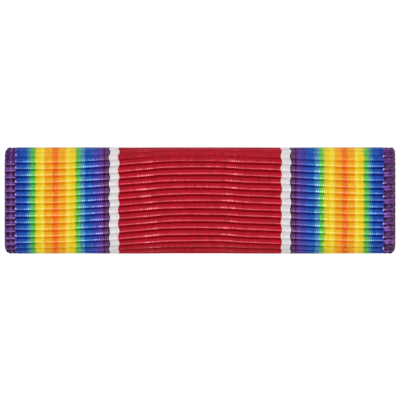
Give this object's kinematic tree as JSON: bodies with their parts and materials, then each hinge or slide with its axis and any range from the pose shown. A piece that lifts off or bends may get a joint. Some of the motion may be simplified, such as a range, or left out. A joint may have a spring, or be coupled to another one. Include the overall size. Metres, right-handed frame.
{
  "type": "ribbon bar",
  "caption": "Striped ribbed ribbon wound round a thin brass plate, with a brass slide channel on the back for a ribbon holder.",
  "frame": {"origin": "under the middle of the bar, in the plane of the rear faces of the slide channel's lips, on which it lies", "axes": "+X along the bar to the right of its face, +Y up its face, +Z out of its face"},
  "size_m": [0.035, 0.0096, 0.004],
  "materials": {
    "ribbon_weave": "warp-faced ribbed ribbon with a satin lustre, rainbow and white stripes beside a wide red centre",
    "plate_brass": "plain rolled brass sheet",
    "channel_brass": "stamped brass sheet with a soft polish and fine drawing lines"
  },
  "bodies": {
    "root": {"ribbon": "ribbon_weave", "bar_plate": "plate_brass", "slide_channel": "channel_brass"}
  },
  "joints": []
}
